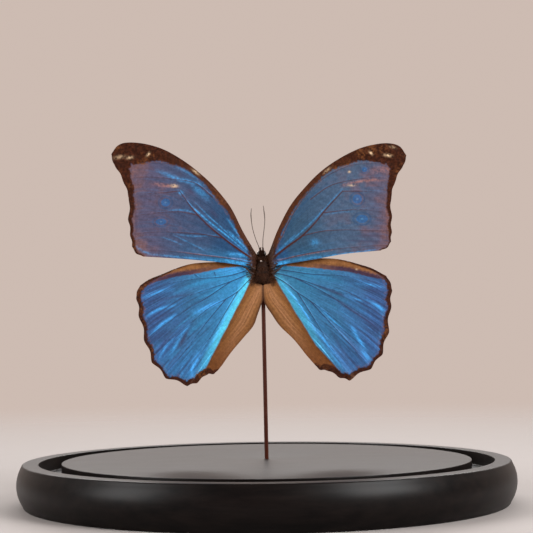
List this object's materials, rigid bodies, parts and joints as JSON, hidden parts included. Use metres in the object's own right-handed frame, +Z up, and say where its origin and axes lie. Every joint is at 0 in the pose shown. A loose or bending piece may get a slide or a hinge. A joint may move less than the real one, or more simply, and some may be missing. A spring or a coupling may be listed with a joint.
{
  "type": "mounted butterfly on a dome base",
  "caption": "Spread blue butterfly held upright on a thin rod over a round turned wooden base with an open groove for a glass dome.",
  "frame": {"origin": "centre of the base's underside, on the surface that it stands on", "axes": "+Z up along the base's turning axis; -Y is the front, which the butterfly's upper side faces; +X to the right seen from the front"},
  "size_m": [0.22, 0.22, 0.1608],
  "materials": {
    "stained_wood": "near-black brown stain under a satin clear coat",
    "rod_lacquer": "dark red-brown lacquered wire",
    "pin_metal": "polished",
    "body_fur": "matte dark brown fur",
    "forewing_scales": "satin iridescent scales, brown border",
    "hindwing_scales": "satin iridescent scales, tan inner fold and dark border",
    "feeler_skin": "dry horn-like skin, satin"
  },
  "bodies": {
    "root": {"base": "stained_wood", "rod": "rod_lacquer", "pin": "pin_metal", "thorax": "body_fur", "head": "body_fur", "palp_left": "body_fur", "palp_right": "body_fur", "forewing_left": "forewing_scales", "forewing_right": "forewing_scales", "hindwing_left": "hindwing_scales", "hindwing_right": "hindwing_scales", "antenna_left": "feeler_skin", "antenna_right": "feeler_skin", "leg_mid_left": "feeler_skin", "leg_mid_right": "feeler_skin", "leg_hind_left": "feeler_skin", "leg_hind_right": "feeler_skin"}
  },
  "joints": []
}
